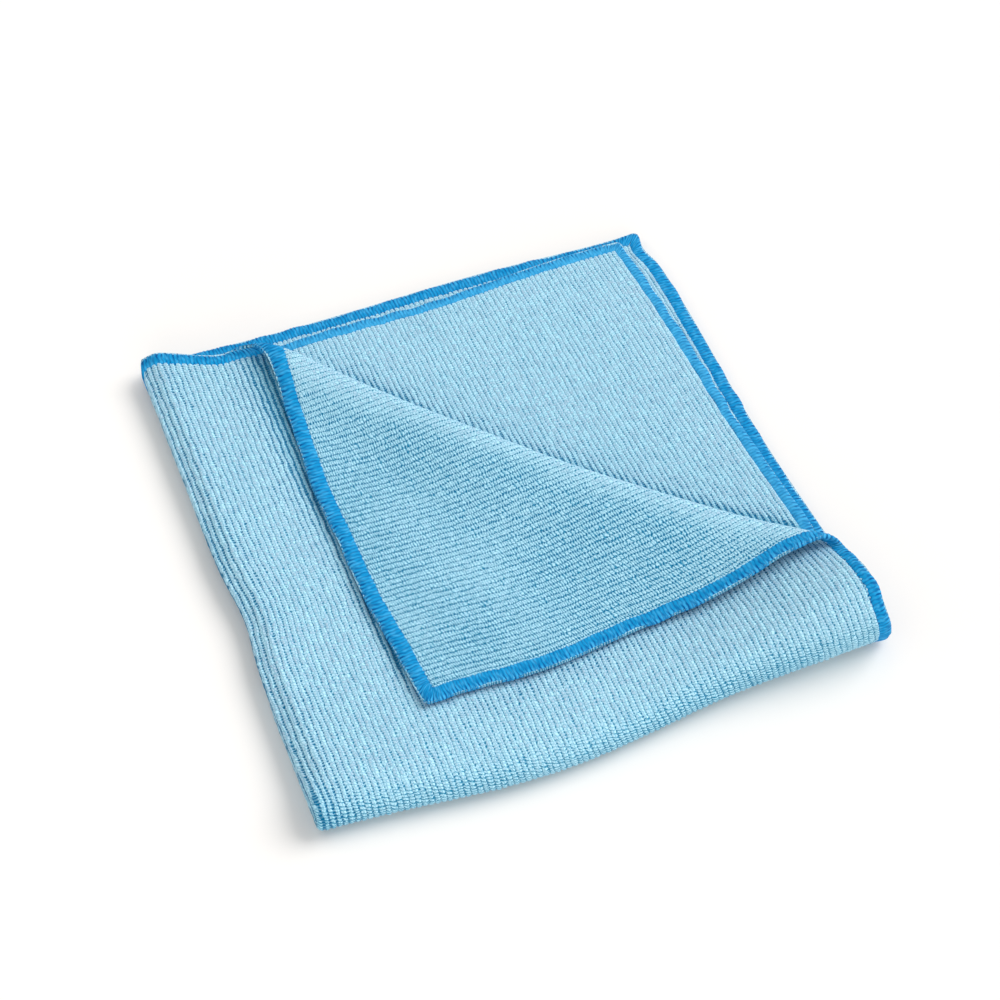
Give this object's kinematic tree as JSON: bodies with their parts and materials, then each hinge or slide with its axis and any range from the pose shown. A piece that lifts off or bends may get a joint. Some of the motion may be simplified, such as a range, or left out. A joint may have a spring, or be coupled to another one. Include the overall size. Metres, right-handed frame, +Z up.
{
  "type": "microfibre cloth",
  "caption": "Soft ribbed microfibre cloth with overlocked hems, folded square and lying flat, its front fold standing up loosely and the corner of its top layer turned back.",
  "frame": {"origin": "middle of the folded cloth's box, on the surface that it lies on", "axes": "+Z up from the surface it lies on, +X right along the soft front fold from the side fold, +Y back from the front fold to the hems"},
  "size_m": [0.2047, 0.2167, 0.0298],
  "materials": {
    "microfibre": "matt, brushed and ribbed",
    "overlock_thread": "fine textured thread"
  },
  "bodies": {
    "root": {"cloth": "microfibre"}
  },
  "joints": []
}
